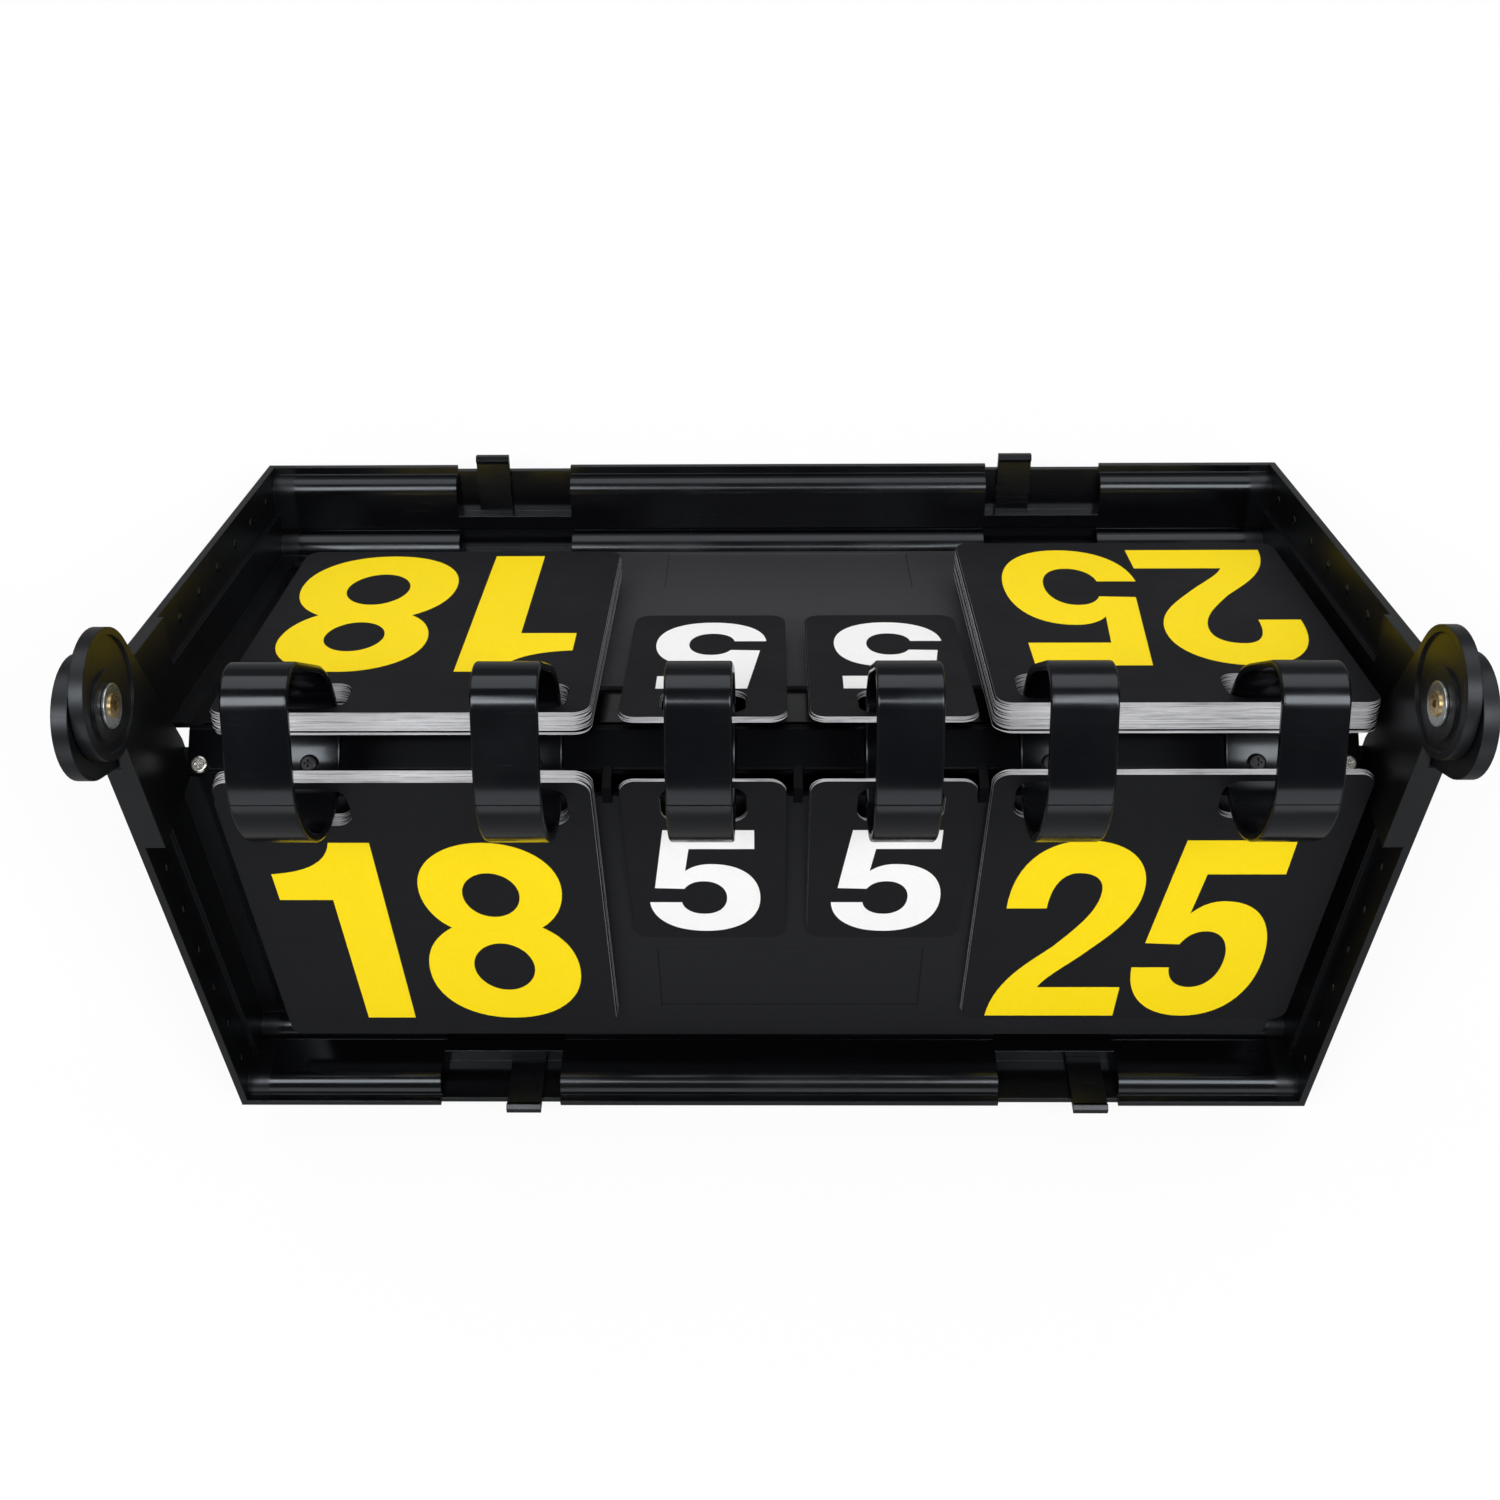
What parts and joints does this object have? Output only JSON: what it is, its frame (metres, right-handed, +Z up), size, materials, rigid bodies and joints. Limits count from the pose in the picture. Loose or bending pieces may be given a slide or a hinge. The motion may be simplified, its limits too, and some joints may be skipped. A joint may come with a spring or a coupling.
{
  "type": "flip scoreboard",
  "caption": "Folding flip scoreboard, open like a tent: a black plastic case in two halves with number cards on flat rings, showing big score digits and small set digits",
  "frame": {"origin": "on the table, under the middle of the ridge, halfway between the two feet", "axes": "X along the ridge, -Y to the front half with its showing cards, Z up"},
  "size_m": [0.39, 0.2486, 0.1993],
  "materials": {
    "case_plastic": "glossy black moulded plastic",
    "panel_plastic": "satin dark grey sheet",
    "card_plastic": "matt near-black plastic sheet with printed digits in yellow or white",
    "zinc": "zinc-plated washer",
    "brass_rivet": "tubular brass rivet",
    "nickel_screw": "nickel-plated screw"
  },
  "bodies": {
    "front_half": {"front_tray": "case_plastic", "front_panel": "panel_plastic", "hinge_washer_left": "zinc", "hinge_washer_right": "zinc", "hinge_rivet_left": "brass_rivet", "hinge_rivet_right": "brass_rivet", "ring_bar": "case_plastic", "ring_screws": "nickel_screw", "bar_screws": "nickel_screw", "front_snap_tab_left": "case_plastic", "front_snap_tab_right": "case_plastic", "ring_1": "case_plastic", "ring_2": "case_plastic", "ring_3": "case_plastic", "ring_4": "case_plastic", "ring_5": "case_plastic", "ring_6": "case_plastic", "ring_clip_1": "case_plastic", "ring_clip_2": "case_plastic", "ring_clip_3": "case_plastic", "ring_clip_4": "case_plastic", "ring_clip_5": "case_plastic", "ring_clip_6": "case_plastic", "score_left_front_pile": "card_plastic", "set_left_front_pile": "card_plastic", "set_right_front_pile": "card_plastic", "score_right_front_pile": "card_plastic"},
    "rear_half": {"rear_tray": "case_plastic", "rear_panel": "panel_plastic", "rear_snap_tab_left": "case_plastic", "rear_snap_tab_right": "case_plastic"},
    "rear_cards": {"score_left_rear_pile": "card_plastic", "set_left_rear_pile": "card_plastic", "set_right_rear_pile": "card_plastic", "score_right_rear_pile": "card_plastic"},
    "score_left_flip": {"score_left_card": "card_plastic"},
    "set_left_flip": {"set_left_card": "card_plastic"},
    "set_right_flip": {"set_right_card": "card_plastic"},
    "score_right_flip": {"score_right_card": "card_plastic"}
  },
  "joints": [
    {"name": "case_hinge", "type": "hinge", "parent": "front_half", "child": "rear_half", "pos_m": [0, 0, 0.18034], "axis": [1, 0, 0], "range_deg": [0, 285.6]},
    {"name": "rear_card_swing", "type": "hinge", "parent": "front_half", "child": "rear_cards", "pos_m": [0, -0.0098, 0.15584], "axis": [1, 0, 0], "range_deg": [0, 285.6]},
    {"name": "score_left_flip", "type": "hinge", "parent": "front_half", "child": "score_left_flip", "pos_m": [0, -0.0098, 0.15584], "axis": [-1, 0, 0], "range_deg": [0, 286.6]},
    {"name": "set_left_flip", "type": "hinge", "parent": "front_half", "child": "set_left_flip", "pos_m": [0, -0.0098, 0.15584], "axis": [-1, 0, 0], "range_deg": [0, 292.6]},
    {"name": "set_right_flip", "type": "hinge", "parent": "front_half", "child": "set_right_flip", "pos_m": [0, -0.0098, 0.15584], "axis": [-1, 0, 0], "range_deg": [0, 292.6]},
    {"name": "score_right_flip", "type": "hinge", "parent": "front_half", "child": "score_right_flip", "pos_m": [0, -0.0098, 0.15584], "axis": [-1, 0, 0], "range_deg": [0, 286.6]}
  ],
  "couplings": [
    {"joint": "rear_card_swing", "follows": "case_hinge", "ratio": 1}
  ]
}
